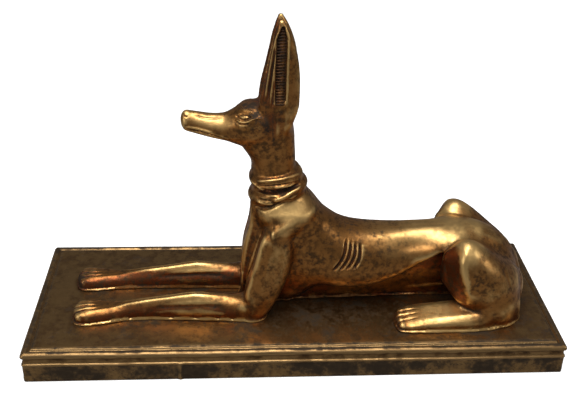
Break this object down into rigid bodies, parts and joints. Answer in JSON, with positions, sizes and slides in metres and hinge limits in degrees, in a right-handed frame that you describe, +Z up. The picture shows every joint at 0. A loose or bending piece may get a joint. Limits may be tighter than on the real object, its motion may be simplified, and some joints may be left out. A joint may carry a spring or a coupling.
{
  "type": "egyptian statue",
  "caption": "Recumbent jackal figure with tall ears and a knotted scarf, forelegs stretched out, lying on a rectangular rimmed plinth.",
  "frame": {"origin": "centre of the plinth's underside", "axes": "+X along the plinth's length towards the tail, so the head faces -X; +Y across the plinth, the figure's right side facing +Y; +Z up"},
  "size_m": [0.2058, 0.0734, 0.1291],
  "materials": {
    "figure": "cold-cast resin with satin bronze and gold metallic paint, dark patina in the recesses, rubbed bright on the raised parts",
    "plinth": "cold-cast resin with dull dark bronze paint, mottled black-brown patina, rubbed edges"
  },
  "bodies": {
    "root": {"jackal": "figure", "plinth": "plinth"}
  },
  "joints": []
}
